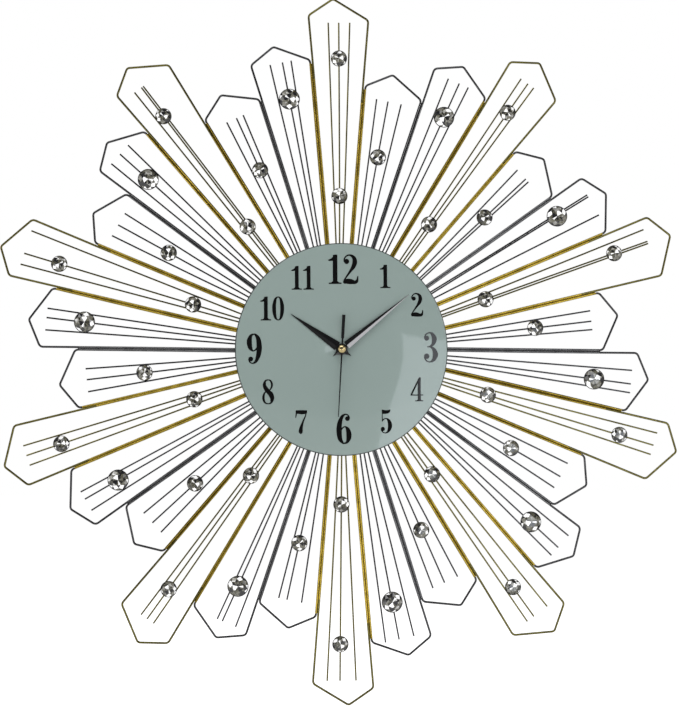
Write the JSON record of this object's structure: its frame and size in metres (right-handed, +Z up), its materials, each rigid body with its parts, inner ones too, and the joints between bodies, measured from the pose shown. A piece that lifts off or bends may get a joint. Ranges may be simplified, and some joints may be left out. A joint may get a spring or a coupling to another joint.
{
  "type": "sunburst wall clock",
  "caption": "Sunburst wall clock: gold and gunmetal wire petals with glued crystals round a glass dial, with sword hands and a quartz movement behind.",
  "frame": {"origin": "where the axis of the hands meets the wall, on the flat back of the movement case", "axes": "+Y into the wall, -Y out of the dial towards the room, +Z up to twelve o'clock, +X to three o'clock"},
  "size_m": [0.669, 0.0403, 0.7],
  "materials": {
    "gold_wire": "gloss",
    "silver_wire": "gloss",
    "dial_glass": "gloss",
    "black_steel": "satin",
    "zinc_steel": "satin",
    "rubber": "matte",
    "brass": "polished",
    "case_plastic": "matte",
    "battery_wrap": "gloss",
    "train_plastic": "satin",
    "circuit_board": "satin",
    "copper_wire": "satin",
    "hand_black": "gloss"
  },
  "bodies": {
    "clock": {"gold_petal_01": "gold_wire", "gold_petal_02": "gold_wire", "gold_petal_03": "gold_wire", "gold_petal_04": "gold_wire", "gold_petal_05": "gold_wire", "gold_petal_06": "gold_wire", "gold_petal_07": "gold_wire", "gold_petal_08": "gold_wire", "gold_petal_09": "gold_wire", "gold_petal_10": "gold_wire", "short_petal_01": "silver_wire", "short_petal_02": "silver_wire", "short_petal_03": "silver_wire", "short_petal_04": "silver_wire", "short_petal_05": "silver_wire", "short_petal_06": "silver_wire", "short_petal_07": "silver_wire", "short_petal_08": "silver_wire", "short_petal_09": "silver_wire", "short_petal_10": "silver_wire", "long_petal_01": "silver_wire", "long_petal_02": "silver_wire", "long_petal_03": "silver_wire", "long_petal_04": "silver_wire", "long_petal_05": "silver_wire", "long_petal_06": "silver_wire", "long_petal_07": "silver_wire", "long_petal_08": "silver_wire", "long_petal_09": "silver_wire", "long_petal_10": "silver_wire", "dial_pan": "black_steel", "dial_glass": "dial_glass", "wall_hanger": "zinc_steel", "rubber_washer": "rubber", "brass_washer": "brass", "hex_nut": "brass", "threaded_bushing": "brass", "front_case": "case_plastic", "rear_case": "case_plastic", "battery": "battery_wrap", "positive_contact": "zinc_steel", "negative_contact": "zinc_steel", "train_plate": "train_plastic", "circuit_board": "circuit_board", "coil": "copper_wire", "stator": "zinc_steel"},
    "second_hand": {"second_wheel": "train_plastic", "second_hand": "hand_black", "second_hand_boss": "brass"},
    "minute_hand": {"cannon_pinion": "brass", "minute_hand": "hand_black"},
    "hour_hand": {"hour_wheel": "train_plastic", "hour_hand": "hand_black"},
    "third_wheel": {"third_wheel": "train_plastic"},
    "centre_wheel": {"centre_wheel": "train_plastic"},
    "fifth_wheel": {"fifth_wheel": "train_plastic"},
    "rotor": {"rotor": "zinc_steel"},
    "setting_knob": {"setting_wheel": "train_plastic", "setting_knob": "case_plastic"},
    "battery_cover": {"battery_cover": "case_plastic"}
  },
  "joints": [
    {"name": "second_hand_turn", "type": "hinge", "parent": "clock", "child": "second_hand", "pos_m": [0, 0, 0], "axis": [0, 1, 0], "continuous": true},
    {"name": "minute_hand_turn", "type": "hinge", "parent": "clock", "child": "minute_hand", "pos_m": [0, 0, 0], "axis": [0, 1, 0], "continuous": true},
    {"name": "hour_hand_turn", "type": "hinge", "parent": "clock", "child": "hour_hand", "pos_m": [0, 0, 0], "axis": [0, 1, 0], "continuous": true},
    {"name": "third_wheel_turn", "type": "hinge", "parent": "clock", "child": "third_wheel", "pos_m": [-0.00885, 0, 0.00619], "axis": [0, 1, 0], "continuous": true},
    {"name": "centre_wheel_turn", "type": "hinge", "parent": "clock", "child": "centre_wheel", "pos_m": [0, 0, 0], "axis": [0, 1, 0], "continuous": true},
    {"name": "fifth_wheel_turn", "type": "hinge", "parent": "clock", "child": "fifth_wheel", "pos_m": [0, 0, 0.009], "axis": [0, 1, 0], "continuous": true},
    {"name": "rotor_turn", "type": "hinge", "parent": "clock", "child": "rotor", "pos_m": [0.0055, 0, 0.0148], "axis": [0, 1, 0], "continuous": true},
    {"name": "setting_knob_turn", "type": "hinge", "parent": "clock", "child": "setting_knob", "pos_m": [0.0113, 0, -0.0005], "axis": [0, 1, 0], "continuous": true},
    {"name": "battery_cover_slide", "type": "slide", "parent": "clock", "child": "battery_cover", "axis": [0, 0, -1], "range_m": [0, 0.0165]}
  ],
  "couplings": [
    {"joint": "fifth_wheel_turn", "follows": "second_hand_turn", "ratio": -6},
    {"joint": "rotor_turn", "follows": "second_hand_turn", "ratio": 30},
    {"joint": "third_wheel_turn", "follows": "second_hand_turn", "ratio": -0.13333},
    {"joint": "centre_wheel_turn", "follows": "second_hand_turn", "ratio": 0.016667},
    {"joint": "setting_knob_turn", "follows": "minute_hand_turn", "ratio": -0.33333},
    {"joint": "hour_hand_turn", "follows": "minute_hand_turn", "ratio": 0.083333}
  ]
}
